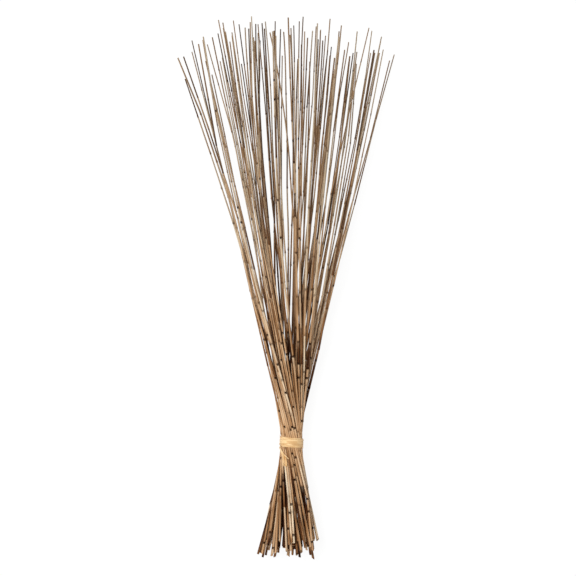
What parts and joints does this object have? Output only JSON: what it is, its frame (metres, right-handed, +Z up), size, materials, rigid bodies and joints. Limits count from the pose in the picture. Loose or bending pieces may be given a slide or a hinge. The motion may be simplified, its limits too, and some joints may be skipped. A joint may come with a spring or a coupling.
{
  "type": "bunch of reeds",
  "caption": "Lying bunch of thin dried reeds with jointed stems, tied near the cut butts with flat raffia and fanning out towards the tips.",
  "frame": {"origin": "centre of the bottom of the bounding box, on the surface the bunch lies on", "axes": "+Y along the bunch towards the tips, +Z up, +X to the right seen from above"},
  "size_m": [0.402, 0.9944, 0.2141],
  "materials": {
    "reed": "dry, smooth, slightly glossy straw skin",
    "raffia": "matt dry fibre"
  },
  "bodies": {
    "root": {"raffia_tie": "raffia", "reed_01": "reed", "reed_02": "reed", "reed_03": "reed", "reed_04": "reed", "reed_05": "reed", "reed_06": "reed", "reed_07": "reed", "reed_08": "reed", "reed_09": "reed", "reed_10": "reed", "reed_11": "reed", "reed_12": "reed", "reed_13": "reed", "reed_14": "reed", "reed_15": "reed", "reed_16": "reed", "reed_17": "reed", "reed_18": "reed", "reed_19": "reed", "reed_20": "reed", "reed_21": "reed", "reed_22": "reed", "reed_23": "reed", "reed_24": "reed", "reed_25": "reed", "reed_26": "reed", "reed_27": "reed", "reed_28": "reed", "reed_29": "reed", "reed_30": "reed", "reed_31": "reed", "reed_32": "reed", "reed_33": "reed", "reed_34": "reed", "reed_35": "reed", "reed_36": "reed", "reed_37": "reed", "reed_38": "reed", "reed_39": "reed", "reed_40": "reed", "reed_41": "reed", "reed_42": "reed", "reed_43": "reed", "reed_44": "reed", "reed_45": "reed", "reed_46": "reed", "reed_47": "reed", "reed_48": "reed", "reed_49": "reed", "reed_50": "reed", "reed_51": "reed", "reed_52": "reed", "reed_53": "reed", "reed_54": "reed", "reed_55": "reed", "reed_56": "reed", "reed_57": "reed", "reed_58": "reed"}
  },
  "joints": []
}
